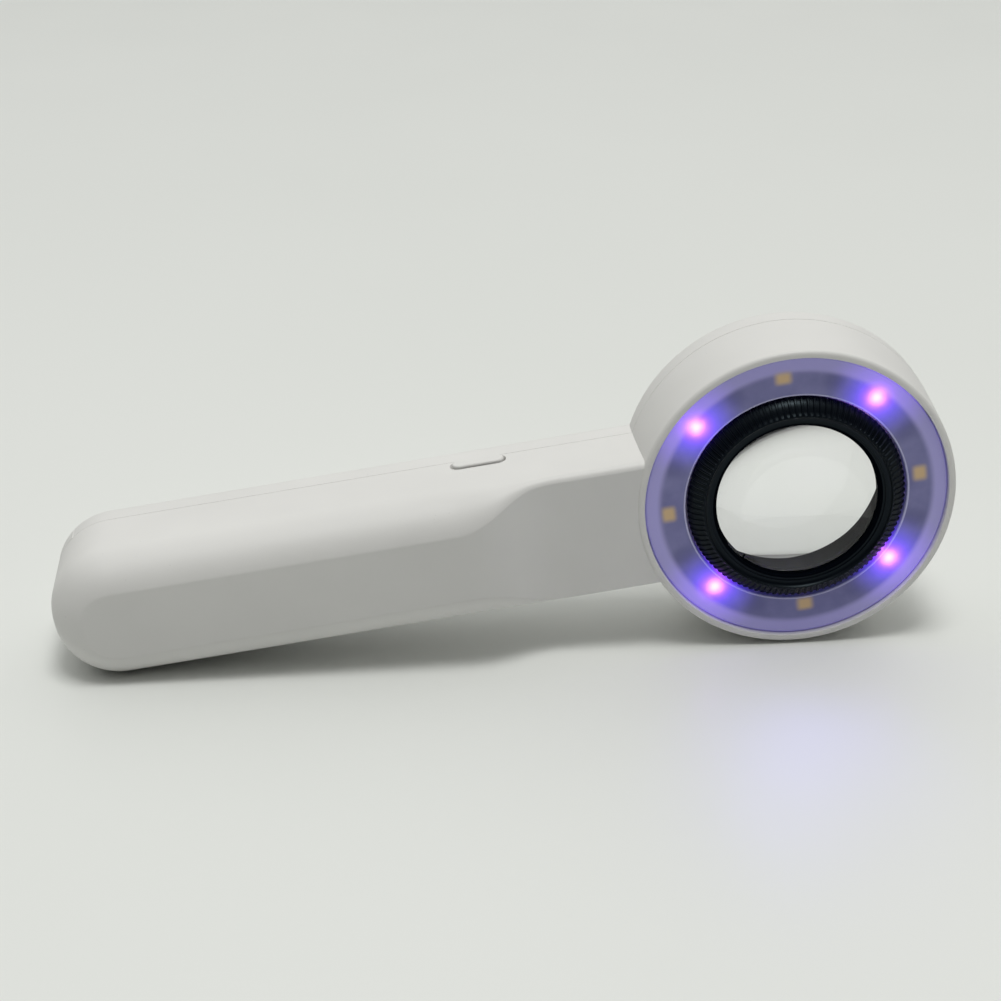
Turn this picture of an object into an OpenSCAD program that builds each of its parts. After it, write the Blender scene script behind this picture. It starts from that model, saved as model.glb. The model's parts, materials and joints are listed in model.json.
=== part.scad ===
// Hand-held illuminated magnifier.
//
// Every sub-part is drawn in the magnifier's own directions: x runs along the
// handle with the lens axis at x = 0 and the grip on the negative side, y runs
// across the handle, and z is the height above the flat back face. stand()
// then turns the magnifier onto its narrow side: the lens looks along -Y, the
// back faces +Y, and the handle's edge with the button is up.

/* [Head] */
// Outer radius of the head, measured at the seam
head_r = 36.2; // [35.8:0.1:37]
// Outer radius of the head at its front lip
head_lip_r = 35.5; // [35.2:0.1:35.7]
// Radius of the recess that the diffuser sits in
recess_r = 33.8; // [33.7:0.05:34]
// Height of the front lip above the back face
head_h = 25; // [24.6:0.1:26]
// Rounding of the front lip's outer edge
lip_edge_r = 0.9; // [0.4:0.1:1.4]
// Rounding of the back edge, all round the magnifier
back_edge_r = 4.5; // [3.5:0.1:5]

/* [Handle] */
// Distance from the lens axis to the grip's end
reach = 166; // [164:0.5:170]
// Width across the handle
handle_w = 30; // [29.4:0.2:31]
// Height of the grip above the back face
grip_h = 31; // [30.4:0.1:32]
// Height of the neck above the back face
neck_h = 24.6; // [24:0.1:24.9]
// Rounding along the grip's front edges
grip_edge_r = 10; // [8:0.5:10.5]
// Angle at which the roundings meet the front face, a soft crease
crease = 15; // [0:1:20]
// Rounding along the neck's front edges
neck_edge_r = 1.2; // [1:0.1:2]
// Rounding of the grip's end, seen from the front
end_corner_r = 14.5; // [14.3:0.1:14.6]
// Distance from the lens axis to the grip's side of the step
step_far = 74; // [72:0.5:78]
// Distance from the lens axis to the neck's side of the step
step_near = 52; // [49:0.5:54]
// Thickness of the shells
wall = 2; // [1.8:0.1:2.2]
// Height of the seam between the two shells
seam_h = 8; // [7.8:0.1:8.2]

/* [Light ring] */
// Radius of the circle that the LEDs sit on
led_circle_r = 28; // [27.6:0.1:28.2]
// Number of LEDs, ultraviolet and white in turn
led_count = 8; // [8:4:12]
// Size of one LED, along the circle, across it and high
led_size = [3.5, 2.8, 1.7];
// Outer and inner radius of the LED board
led_board_r = [33.3, 22.6];
// Thickness of the LED board
led_board_t = 1.2; // [0.8:0.1:1.2]
// Outer and inner radius of the diffuser
diffuser_r = [33.6, 24.7];
// Height of the diffuser's front face
diffuser_h = 24; // [23.8:0.1:24.2]
// Thickness of the diffuser's face
diffuser_t = 1.5; // [1.2:0.1:1.6]
// Inner radius of the diffuser's thick outer rim
diffuser_rim_r = 30.3; // [30.2:0.1:31]

/* [Lens] */
// Outer radius of the lens cell
cell_r = 20.1; // [20:0.05:20.12]
// Inner radius of the sleeve that the cell turns in
sleeve_r = 20.2; // [20.2:0.05:20.4]
// Radius of the two lenses
lens_r = 18.6; // [18.4:0.05:18.65]
// Thickness of each lens at its edge and at its middle
lens_t = [2.5, 7];
// Height of the front lens's flat face
lens_front_h = 24.3; // [24.2:0.05:24.4]
// Height of the rear lens's flat face
lens_rear_h = 9.1; // [9:0.05:9.2]
// Outer radius of the knurled ring
ring_r = 24.3; // [24:0.1:24.4]
// Height of the knurled ring's front land
ring_h = 26.6; // [26.4:0.1:26.9]
// Radius and depth of the eyepiece socket in the back face
socket = [20.6, 4.6];

/* [Button] */
// Distance from the lens axis to the middle of the button
button_at = 68; // [66:0.5:70]
// Height of the middle of the button
button_z = 10.2; // [10.1:0.1:10.4]
// Length and width of the button's cap
button_size = [11.6, 3.2];
// How far the cap stands out of the handle's side
button_proud = 0.6; // [0.4:0.1:0.9]
// How far the button can be pressed
button_travel = 0.6; // [0.4:0.1:0.6]

/* [Batteries] */
// Radius and length of one AAA cell
cell_size = [5.25, 44.5];
// Radius of the battery holder
holder_r = 11.6; // [11.55:0.05:11.8]
// Length of the battery holder
holder_len = 52; // [51:0.5:52]
// Height of the battery holder's axis
holder_z = 15.5; // [15.4:0.1:15.8]
// Half the width of the battery opening's cover
cover_half_w = 11.9; // [11.5:0.1:12]
// Distance from the lens axis to the cover's hooked edge
cover_at = 101; // [100:0.5:101]

/* [Hidden] */
$fn = 96;
half_w = handle_w / 2;
// Room between pieces that are assembled by hand
gap = 0.2;
// Overlap that makes a cut go right through
cut = 1;
// Height of the web that closes the head behind the LED board
web_top = diffuser_h - 5.6;
web_t = 1.6;
web_low = web_top - web_t;
led_board_top = web_top + led_board_t;
// The step's two arcs share one radius and meet half way
step_run = step_far - step_near;
step_drop = grip_h - neck_h;
step_r = (step_run * step_run + step_drop * step_drop) / (4 * step_drop);
step_mid = (step_far + step_near) / 2;
step_mid_h = (grip_h + neck_h) / 2;
// Shell screws: positions, and radii of shank, head, boss and recess
screw_circle_r = 29.5;
screw_angle = 40;
screw_y = 8.5;
neck_screw_at = 44;
grip_screw_at = 92;
shell_screws_xy = [
    for (side = [-1, 1])
        each [
            [screw_circle_r * cos(screw_angle), side * screw_circle_r * sin(screw_angle)],
            [-neck_screw_at, side * screw_y],
            [-grip_screw_at, side * screw_y]
        ]
];
screw_r = 1.1;
screw_head_r = 2.1;
screw_len = 12;
screw_seat = 3;
boss_r = 2.6;
recess_boss_r = 3.6;
// Interlocking lip along the seam
lip_h = 1;
lip_inset = 1.1;
// Sleeve flange and its screws
sleeve_wall = 1.6;
sleeve_low = socket[1] + gap;
sleeve_top = led_board_top + 2.4;
flange_r = 26.5;
flange_t = 1.8;
sleeve_screw_circle_r = 24.3;
// Lens cell
cell_bore_r = lens_r + 0.1;
cell_low = 7;
cell_top = 25.5;
stop_r = 18;
// Radius of the lenses' bulged faces, and their height where the spacer meets them
bulge = lens_t[1] - lens_t[0];
ball_r = (lens_r * lens_r + bulge * bulge) / (2 * bulge);
spacer_seat = lens_t[1] - ball_r + sqrt(ball_r * ball_r - stop_r * stop_r) + 0.02;
groove_low = 12;
groove_w = 1.3;
groove_r = 19.15;
o_ring_wire = 0.48;
ring_low = sleeve_top + 0.4;
retainer_r = 18.3;
snap_wire = 0.15;
snap_angle = 222;
snap_gap_angle = 16;
// Control board, switch and what stands on them
board_at = 86;
board_len = 36.5;
board_half_w = 11;
board_low = 6.6;
board_t = 1.2;
board_top = board_low + board_t;
board_posts_x = [-82.5, -53.5];
board_post_y = -7;
switch_size = [6, 3.5, 3.6];
flange_y = half_w - wall - 0.8;
switch_face_y = flange_y - button_travel - 0.1;
plunger_r = 0.9;
plunger_z = 9.9;
// Battery compartment
rib_at = 102;
rib_t = 1.6;
rib_low = 4.6;
holder_far = rib_at + rib_t + 1.4 + holder_len;
disc_t = 2;
battery_pitch_r = 6.25;
cell_spring_len = 2;
battery_far = holder_far - disc_t - cell_spring_len - 0.8;
lead_r = 0.55;

// ---------------------------------------------------------------- helpers

// Turns the magnifier from its own directions onto its narrow side
module stand() {
    rotate([90, 0, 0]) children();
}

// A tube along z
module tube(outer, inner, low, high) {
    translate([0, 0, low]) difference() {
        cylinder(r = outer, h = high - low);
        translate([0, 0, -cut]) cylinder(r = inner, h = high - low + 2 * cut);
    }
}

// A block given by its lowest and highest corners
module block(low, high) {
    translate(low) cube(high - low);
}

// Everything between two heights
module slab(low, high) {
    block([-reach - cut, -head_r - cut, low], [head_r + cut, head_r + cut, high]);
}

// A cylinder lying along x
module rod_x(r, x0, x1, y, z) {
    translate([x0, y, z]) rotate([0, 90, 0]) cylinder(r = r, h = x1 - x0);
}

// A cylinder lying along y
module rod_y(r, y0, y1, x, z) {
    translate([x, y1, z]) rotate([90, 0, 0]) cylinder(r = r, h = y1 - y0);
}

// A stadium-shaped bar lying along y, drawn round a height of its own
module stadium_y(size, y0, y1, z) {
    run = size[0] / 2 - size[1] / 2;
    for (end = [-1, 1])
        rod_y(size[1] / 2, y0, y1, -button_at + end * run, z);
    block([-button_at - run, y0, z - size[1] / 2], [-button_at + run, y1, z + size[1] / 2]);
}

// Children copied to equal steps round the lens axis
module around(count, start = 0) {
    for (i = [0:count - 1])
        rotate(start + i * 360 / count) children();
}

function unit(v) = v / norm(v);

// Direction of a route at one of its points
function heading(points, i) =
    unit(points[min(i + 1, len(points) - 1)] - points[max(i - 1, 0)]);

// Skin of a tube whose points are rings laid one after another
module ring_skin(points, sides) {
    rings = len(points) / sides;
    walls = [
        for (i = [0:rings - 2])
            for (k = [0:sides - 1])
                let (
                    n = (k + 1) % sides,
                    low = i * sides,
                    high = low + sides
                )
                each [[low + k, low + n, high + n], [low + k, high + n, high + k]]
    ];
    first = [for (k = [sides - 1:-1:0]) k];
    last = [for (k = [0:sides - 1]) (rings - 1) * sides + k];
    polyhedron(points, concat([first], walls, [last]));
}

// An eight-sided lead along the given points
module lead(points) {
    sides = 8;
    side_hint = [0.25, 1, 0.15];
    ring_skin([
        for (i = [0:len(points) - 1])
            let (
                ahead = heading(points, i),
                across = unit(cross(ahead, side_hint)),
                other = cross(ahead, across)
            )
            for (k = [0:sides - 1])
                let (a = k * 360 / sides)
                points[i] + lead_r * (across * cos(a) + other * sin(a))
    ], sides);
}

// A screw with a cross recess; its head lies below z = 0
module screw(shank_r, head_r, head_t, length) {
    difference() {
        union() {
            translate([0, 0, -head_t]) cylinder(r = head_r, h = head_t);
            cylinder(r = shank_r, h = length);
        }
        for (turn = [0, 90])
            rotate(turn)
                block(
                    [-head_r * 0.6, -head_r * 0.13, -head_t - cut],
                    [head_r * 0.6, head_r * 0.13, -head_t * 0.45]
                );
    }
}

// A coil spring along z, of six-sided wire
module coil_spring(coil_r, wire_r, height, turns) {
    sides = 6;
    rings = turns * 12;
    ring_skin([
        for (i = [0:rings])
            for (k = [0:sides - 1])
                let (
                    a = i * 360 * turns / rings,
                    b = k * 360 / sides,
                    r = coil_r + wire_r * cos(b)
                )
                [r * cos(a), r * sin(a), height * i / rings + wire_r * sin(b)]
    ], sides);
}

// ------------------------------------------------------- outer form, inset t

// Half section of the head
module head_section(t) {
    corner = head_r - back_edge_r;
    top_edge = max(lip_edge_r - t, 0.1);
    polygon([
        [0, t],
        [corner, t],
        [corner, back_edge_r],
        [head_r - t, back_edge_r],
        [head_r - t, seam_h],
        [head_lip_r - t, head_h - t - top_edge],
        [head_lip_r - t - top_edge, head_h - t - top_edge],
        [head_lip_r - t - top_edge, head_h - t],
        [0, head_h - t]
    ]);
    intersection() {
        translate([corner, back_edge_r]) circle(r = back_edge_r - t);
        translate([corner - cut, 0]) square([head_r, back_edge_r + cut]);
    }
    translate([head_lip_r - t - top_edge, head_h - t - top_edge]) circle(r = top_edge);
}

module head_form(t) {
    rotate_extrude() head_section(t);
}

// Half section of the handle, from its middle out to a rounded side
module edge_section(t, run, top, edge) {
    front_r = max(edge - t, 0.4);
    back_r = back_edge_r - t;
    front_h = front_r * cos(crease);
    translate([0, t + back_r]) square([run, top - 2 * t - back_r - front_h]);
    translate([0, t]) square([run - back_r, back_r + cut / 10]);
    translate([0, top - t - front_h - cut / 10]) square([run - front_r, front_h + cut / 10]);
    translate([run - back_r, t + back_r]) circle(r = back_r);
    intersection() {
        translate([run - front_r, top - t - front_h]) circle(r = front_r);
        square([run, top - t]);
    }
}

// Section across the handle: y sideways, height upwards
module handle_section(t, top, edge) {
    for (side = [0, 1])
        mirror([side, 0]) edge_section(t, half_w - t, top, edge);
}

// One straight length of the handle with its own front height and edge rounding
module handle_length(t, x0, x1, top, edge) {
    translate([x0, 0, 0])
        rotate([90, 0, 90])
            linear_extrude(height = x1 - x0) handle_section(t, top, edge);
}

// The grip's end: two rounded corners and the strip between them
module grip_end(t) {
    corner_at = -reach + end_corner_r;
    spread = half_w - end_corner_r;
    run = end_corner_r - t;
    for (side = [-1, 1])
        translate([corner_at, side * spread, 0])
            rotate(side > 0 ? 90 : 180)
                rotate_extrude(angle = 90)
                    intersection() {
                        edge_section(t, run, grip_h, grip_edge_r);
                        square([run, grip_h]);
                    }
    translate([corner_at, spread, 0])
        rotate([90, 0, 0])
            linear_extrude(height = 2 * spread)
                mirror([1, 0]) edge_section(t, run, grip_h, grip_edge_r);
}

// Side view of the step from the grip down to the neck
module step_profile(t) {
    translate([-reach - cut, -cut]) square([reach + cut - step_far, grip_h + 2 * cut - t]);
    intersection() {
        translate([-step_far, grip_h - step_r]) circle(r = step_r - t, $fn = 240);
        translate([-step_far, -cut]) square([step_far - step_mid, grip_h + cut]);
    }
    difference() {
        translate([-step_mid, -cut]) square([step_mid - step_near, step_mid_h + cut - t]);
        translate([-step_near, neck_h + step_r]) circle(r = step_r + t, $fn = 240);
    }
}

module handle(t) {
    grip_end(t);
    intersection() {
        handle_length(t, -reach + end_corner_r, -step_near, grip_h, grip_edge_r);
        translate([0, half_w, 0])
            rotate([90, 0, 0])
                linear_extrude(height = handle_w) step_profile(t);
    }
    handle_length(t, -step_far - 2, 0, neck_h, neck_edge_r);
}

// The whole magnifier as one closed form
module outer(t) {
    head_form(t);
    handle(t);
}

// The room inside the two shells, behind the light ring's web
module cavity() {
    translate([0, 0, wall]) cylinder(r = recess_r, h = web_low - wall);
    difference() {
        handle(wall);
        translate([0, 0, web_low]) cylinder(r = head_r - 0.6, h = grip_h);
    }
}

// The battery opening, through the back and the grip's end
module cover_opening(room, low, high) {
    block(
        [-reach - cut, -cover_half_w - room, low],
        [-cover_at + room, cover_half_w + room, high]
    );
}

// Room for the button in the handle's side
module button_slot() {
    stadium_y([button_size[0] + 0.4, button_size[1] + 0.3], half_w - wall - cut, half_w + cut, button_z);
}

// ----------------------------------------------------------------- casings

module front_shell() {
    pilot_depth = screw_len - (seam_h - screw_seat) + 0.5;
    color("white") stand() difference() {
        union() {
            difference() {
                intersection() {
                    outer(0);
                    slab(seam_h, grip_h + cut);
                }
                cavity();
            }
            intersection() {
                for (p = shell_screws_xy)
                    translate([p[0], p[1], seam_h]) cylinder(r = boss_r, h = grip_h);
                union() {
                    cavity();
                    outer(wall);
                }
            }
            intersection() {
                block([-rib_at - rib_t, -half_w, rib_low], [-rib_at, half_w, grip_h]);
                cavity();
            }
        }
        translate([0, 0, web_top]) cylinder(r = recess_r, h = grip_h);
        translate([0, 0, web_low - cut]) cylinder(r = 22, h = grip_h);
        intersection() {
            outer(lip_inset - 0.1);
            slab(seam_h - cut, seam_h + lip_h + 0.1);
            difference() {
                slab(0, grip_h);
                block([-rib_at - rib_t, -half_w + wall, 0], [-rib_at, half_w - wall, grip_h]);
                for (p = shell_screws_xy)
                    translate([p[0], p[1], 0]) cylinder(r = boss_r, h = grip_h);
            }
        }
        for (p = shell_screws_xy)
            translate([p[0], p[1], seam_h - cut]) cylinder(r = 0.9, h = pilot_depth + cut);
        around(3, 90)
            translate([sleeve_screw_circle_r, 0, web_low - cut]) cylinder(r = 0.7, h = web_t + 2 * cut);
        block([-33, -4, web_low - cut], [-30, 4, web_top + cut]);
        button_slot();
        block([-rib_at - rib_t - cut, wall - half_w, 9], [-rib_at + cut, -11, 11.2]);
        rod_x(0.9, -rib_at - rib_t - cut, -rib_at + cut, 4, holder_z);
    }
}

module back_shell() {
    color("white") stand() difference() {
        union() {
            difference() {
                intersection() {
                    outer(0);
                    slab(-cut, seam_h);
                }
                cavity();
            }
            difference() {
                intersection() {
                    outer(lip_inset);
                    slab(seam_h - 0.5, seam_h + lip_h);
                }
                cavity();
                slab(seam_h + lip_h, grip_h);
                cylinder(r = recess_r, h = grip_h);
                block(
                    [-button_at - 7.5, 0, seam_h],
                    [-button_at + 7.5, half_w + cut, grip_h]
                );
            }
            cylinder(r = socket[0] + wall, h = socket[1]);
            for (p = shell_screws_xy)
                intersection() {
                    translate([p[0], p[1], 0]) cylinder(r = recess_boss_r, h = seam_h);
                    outer(0);
                }
            for (x = board_posts_x)
                translate([x, board_post_y, 0.5]) cylinder(r = 2, h = board_low - 0.5);
        }
        translate([0, 0, -cut]) cylinder(r = socket[0], h = socket[1] + 2 * cut);
        cover_opening(gap, -cut, grip_h);
        for (p = shell_screws_xy) {
            translate([p[0], p[1], -cut]) cylinder(r = 2.4, h = screw_seat + cut);
            translate([p[0], p[1], 0]) cylinder(r = 1.3, h = seam_h + cut);
        }
        for (x = board_posts_x)
            translate([x, board_post_y, 2.2]) cylinder(r = 0.7, h = seam_h);
    }
}

module battery_cover() {
    hook_reach = 1.5;
    groove_wire = 0.8;
    color("white") stand() {
        difference() {
            intersection() {
                outer(0);
                cover_opening(0, -cut, seam_h - 0.1);
            }
            handle(wall);
            for (i = [0:4])
                rod_y(groove_wire, -7, 7, -reach + 8 + i * 3 * groove_wire, -0.35);
        }
        for (y = [-6, 6]) {
            block([-cover_at - 4, y - 2.5, wall - 0.3], [-cover_at, y + 2.5, 3.2]);
            block([-cover_at - 0.1, y - 2.5, wall + 0.1], [-cover_at + hook_reach, y + 2.5, 3.2]);
        }
        for (y = [-9, 9])
            block([-cover_at - 54, y - 0.5, wall - 0.3], [-cover_at - 8, y + 0.5, 3]);
    }
}

module shell_screws() {
    color("silver") stand()
        for (p = shell_screws_xy)
            translate([p[0], p[1], screw_seat]) screw(0.85, screw_head_r, 1.3, screw_len);
}

// -------------------------------------------------------------- light ring

module diffuser_ring() {
    color("lavender") stand() {
        rotate_extrude() polygon([
            [diffuser_r[1], diffuser_h - 3.4],
            [diffuser_r[1] + 0.8, diffuser_h - 3.4],
            [diffuser_r[1] + 0.8, diffuser_h - diffuser_t],
            [diffuser_rim_r, diffuser_h - diffuser_t],
            [diffuser_rim_r, led_board_top],
            [diffuser_r[0], led_board_top],
            [diffuser_r[0], diffuser_h - 0.3],
            [diffuser_r[0] - 0.3, diffuser_h],
            [diffuser_r[1] + 0.3, diffuser_h],
            [diffuser_r[1], diffuser_h - 0.3]
        ]);
    }
}

module led_board() {
    color("whitesmoke") stand() tube(led_board_r[0], led_board_r[1], web_top, led_board_top);
}

// One LED: a moulded cup with a sunken round window
module led() {
    window_r = led_size[1] * 0.4;
    difference() {
        translate([led_circle_r, 0, led_board_top + led_size[2] / 2])
            cube([led_size[1], led_size[0], led_size[2]], center = true);
        translate([led_circle_r, 0, led_board_top + led_size[2] - 0.25])
            cylinder(r = window_r, h = cut);
    }
}

module uv_leds() {
    color("violet") stand() around(led_count / 2, 360 / led_count) led();
}

module white_leds() {
    color("gold") stand() around(led_count / 2) led();
}

module led_resistors() {
    color("dimgray") stand()
        around(led_count, 180 / led_count)
            translate([led_circle_r, 0, led_board_top + 0.25])
                cube([1.3, 2, 0.5], center = true);
}

// --------------------------------------------------------------- lens unit

module lens_sleeve() {
    color("dimgray") stand() {
        tube(sleeve_r + sleeve_wall, sleeve_r, sleeve_low, sleeve_top);
        difference() {
            tube(flange_r, sleeve_r + sleeve_wall - 0.5, web_low - flange_t, web_low);
            around(3, 90)
                translate([sleeve_screw_circle_r, 0, 0]) cylinder(r = 1, h = grip_h);
        }
    }
}

module sleeve_screws() {
    color("silver") stand()
        around(3, 90)
            translate([sleeve_screw_circle_r, 0, web_low - flange_t])
                screw(0.65, 1.7, 1.1, flange_t + web_t - 0.1);
}

module lens_cell() {
    color("dimgray") stand() difference() {
        tube(cell_r, stop_r, cell_low, cell_top);
        translate([0, 0, lens_rear_h - 0.05]) cylinder(r = cell_bore_r, h = grip_h);
        tube(cell_r + cut, groove_r, groove_low, groove_low + groove_w);
    }
}

module knurled_ring() {
    color("black") stand() {
        rotate_extrude() polygon([
            [cell_r + 0.05, ring_low],
            [ring_r, ring_low],
            [ring_r, ring_h - 3.2],
            [ring_r - 3.3, ring_h],
            [cell_r + 0.5, ring_h],
            [cell_r - 0.8, cell_top + 0.3],
            [cell_r - 0.8, cell_top + 0.1],
            [cell_r + 0.05, cell_top + 0.1]
        ]);
    }
}

module lens_retainer() {
    color("black") stand() {
        rotate_extrude() polygon([
            [retainer_r, lens_front_h + 0.02],
            [cell_bore_r - 0.05, lens_front_h + 0.02],
            [cell_bore_r - 0.05, cell_top],
            [retainer_r, lens_front_h + 0.5]
        ]);
    }
}

module snap_ring() {
    wire_r = retainer_r - 0.02 - snap_wire;
    wire_z = lens_front_h + 0.02 + snap_wire;
    color("black") stand() {
        rotate(snap_angle)
            rotate_extrude(angle = 360 - snap_gap_angle)
                translate([wire_r, wire_z]) circle(r = snap_wire, $fn = 24);
        rotate(snap_angle)
            translate([wire_r - 0.9, 0, wire_z])
                rotate([0, 90, 0]) cylinder(r = snap_wire * 0.9, h = 0.9, $fn = 24);
    }
}

// A lens that is flat below and bulges upwards
module plano_convex() {
    intersection() {
        cylinder(r = lens_r, h = lens_t[1] + cut);
        translate([0, 0, lens_t[1] - ball_r]) sphere(r = ball_r, $fn = 180);
    }
}

module front_lens() {
    color("lightcyan") stand()
        translate([0, 0, lens_front_h]) mirror([0, 0, 1]) plano_convex();
}

module rear_lens() {
    color("lightcyan") stand() translate([0, 0, lens_rear_h]) plano_convex();
}

module spacer_ring() {
    color("dimgray") stand()
        tube(lens_r, stop_r, lens_rear_h + spacer_seat, lens_front_h - spacer_seat);
}

module o_ring() {
    color("black") stand()
        translate([0, 0, groove_low + groove_w / 2])
            rotate_extrude()
                translate([sleeve_r - 0.05 - o_ring_wire, 0]) circle(r = o_ring_wire, $fn = 32);
}

// ------------------------------------------------------- switch and driver

module power_button() {
    color("white") stand() {
        stadium_y(button_size, flange_y, half_w + button_proud, button_z);
        stadium_y([button_size[0] + 2, button_size[1] + 1], flange_y, half_w - wall - 0.1, button_z);
    }
}

module switch_plunger() {
    color("black") stand()
        rod_y(plunger_r, switch_face_y - 1.4, flange_y - 0.02, -button_at, plunger_z);
}

module tact_switch() {
    color("silver") stand() difference() {
        block(
            [-button_at - switch_size[0] / 2, switch_face_y - switch_size[1], board_top],
            [-button_at + switch_size[0] / 2, switch_face_y, board_top + switch_size[2]]
        );
        rod_y(plunger_r + 0.1, switch_face_y - 2.3, switch_face_y + cut, -button_at, plunger_z);
    }
}

module control_board() {
    color("green") stand() difference() {
        block([-board_at, -board_half_w, board_low], [-board_at + board_len, board_half_w, board_top]);
        for (x = board_posts_x)
            translate([x, board_post_y, 0]) cylinder(r = 1, h = grip_h);
    }
}

module driver_chip() {
    pin_pitch = 1.27;
    color("black") stand() {
        block([-62, -3, board_top + 0.15], [-57, 1, board_top + 1.5]);
        for (i = [0:3])
            block(
                [-61.7 + i * pin_pitch, -4, board_top],
                [-61.3 + i * pin_pitch, 2, board_top + 0.3]
            );
    }
}

module board_capacitors() {
    color("dimgray") stand()
        for (p = [[-76, 4], [-76, -2]])
            translate([p[0], p[1], board_top]) cylinder(r = 2.5, h = 5.4);
}

module board_screws() {
    color("silver") stand()
        for (x = board_posts_x)
            translate([x, board_post_y, board_top])
                mirror([0, 0, 1]) screw(0.65, 1.7, 1.1, 5);
}

// ---------------------------------------------------------------- batteries

// Children placed on one cell's axis, with z along the handle
module on_cell(number, at) {
    translate([at, 0, holder_z])
        rotate([0, 90, 0])
            rotate(180 + number * 120)
                translate([battery_pitch_r, 0, 0]) children();
}

module on_cells(at) {
    for (number = [0:2])
        on_cell(number, at) children();
}

module battery_holder() {
    color("black") stand() {
        difference() {
            rod_x(7.4, -holder_far + disc_t - 0.2, -holder_far + holder_len - disc_t + 0.2, 0, holder_z);
            on_cells(-holder_far) cylinder(r = cell_size[0] + 0.15, h = holder_len);
        }
        for (x = [-holder_far, -holder_far + holder_len - disc_t])
            difference() {
                rod_x(holder_r, x, x + disc_t, 0, holder_z);
                rod_x(1.6, x - cut, x + disc_t + cut, 0, holder_z);
            }
    }
}

// One AAA cell; the number picks its place round the holder
module battery(number) {
    nub_h = 0.8;
    on_cell(number, -battery_far) {
        cylinder(r = cell_size[0], h = cell_size[1] - nub_h);
        cylinder(r = 1.9, h = cell_size[1]);
    }
}

module battery_1() {
    color("goldenrod") stand() battery(0);
}

module battery_2() {
    color("goldenrod") stand() battery(1);
}

module battery_3() {
    color("goldenrod") stand() battery(2);
}

module cell_springs() {
    color("silver") stand()
        on_cells(-holder_far + disc_t + 0.4) coil_spring(3, 0.25, cell_spring_len, 3);
}

module cell_contacts() {
    color("gold") stand()
        on_cells(-battery_far + cell_size[1] + 0.02)
            cylinder(r = 3, h = battery_far - cell_size[1] - (holder_far - holder_len + disc_t) - 0.04);
}

module front_contact() {
    color("gold") stand() {
        block([-rib_at - rib_t - 0.4, -5, holder_z - 5], [-rib_at - rib_t, 5, holder_z + 5]);
        rod_x(1.5, -rib_at - rib_t - 1.38, -rib_at - rib_t - 0.3, 0, holder_z);
    }
}

module rear_contact() {
    base_far = reach - wall - 0.4;
    base_half = [3, 5];
    color("silver") stand() {
        block(
            [-base_far, -base_half[0], holder_z - base_half[1]],
            [-base_far + 0.4, base_half[0], holder_z + base_half[1]]
        );
        translate([-base_far + 0.5, 0, holder_z])
            rotate([0, 90, 0]) coil_spring(3.2, 0.35, base_far - holder_far - 0.9, 4);
    }
}

// -------------------------------------------------------------------- leads

module red_lead() {
    color("red") stand()
        lead([
            [-rib_at - rib_t + 0.02, 4, holder_z],
            [-98, 4, holder_z],
            [-89, 1, 10.5],
            [-84, 1, 9.2],
            [-84, 1, board_top]
        ]);
}

module black_lead() {
    color("black") stand()
        lead([
            [-reach + wall + 1.35, -2.4, 11.6],
            [-reach + wall + 3.4, -7.3, 10.5],
            [-reach + wall + 6.2, -10.7, 9.4],
            [-reach + wall + 9, -11.85, 9.8],
            [-88.5, -12, 10],
            [-85, -6, 9.8],
            [-84, -4, 9.4],
            [-84, -4, board_top]
        ]);
}

module led_leads() {
    color("ivory") stand()
        for (y = [-2.4, 0, 2.4])
            lead([
                [-51.5, y, board_top],
                [-51.5, y, 9.6],
                [-46, y, 11],
                [-36, y, 13],
                [-31.5, y, 14],
                [-31.5, y, web_top - 0.02]
            ]);
}

front_shell();
back_shell();
battery_cover();
shell_screws();
diffuser_ring();
led_board();
uv_leds();
white_leds();
led_resistors();
lens_sleeve();
sleeve_screws();
lens_cell();
knurled_ring();
lens_retainer();
snap_ring();
front_lens();
spacer_ring();
rear_lens();
o_ring();
power_button();
switch_plunger();
tact_switch();
control_board();
driver_chip();
board_capacitors();
board_screws();
battery_holder();
battery_1();
battery_2();
battery_3();
cell_springs();
cell_contacts();
front_contact();
rear_contact();
red_lead();
black_lead();
led_leads();
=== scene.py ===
import json
import math

import bmesh
import bpy
from mathutils import Matrix, Vector


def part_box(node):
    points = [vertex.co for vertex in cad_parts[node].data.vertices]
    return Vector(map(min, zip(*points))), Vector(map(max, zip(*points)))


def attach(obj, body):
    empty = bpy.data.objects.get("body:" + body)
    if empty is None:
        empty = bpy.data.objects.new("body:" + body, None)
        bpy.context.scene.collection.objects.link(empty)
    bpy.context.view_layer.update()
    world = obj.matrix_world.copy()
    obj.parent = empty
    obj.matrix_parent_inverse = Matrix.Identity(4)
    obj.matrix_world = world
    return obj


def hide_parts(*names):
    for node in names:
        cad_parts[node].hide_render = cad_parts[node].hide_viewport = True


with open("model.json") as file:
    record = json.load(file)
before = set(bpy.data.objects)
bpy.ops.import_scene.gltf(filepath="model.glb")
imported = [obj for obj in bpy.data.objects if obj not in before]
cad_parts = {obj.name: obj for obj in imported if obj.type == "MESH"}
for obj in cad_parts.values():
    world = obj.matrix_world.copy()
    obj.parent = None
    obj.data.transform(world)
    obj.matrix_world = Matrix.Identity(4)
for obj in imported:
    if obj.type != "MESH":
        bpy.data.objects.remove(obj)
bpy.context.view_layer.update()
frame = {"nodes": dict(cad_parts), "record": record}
MM = 0.001

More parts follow.
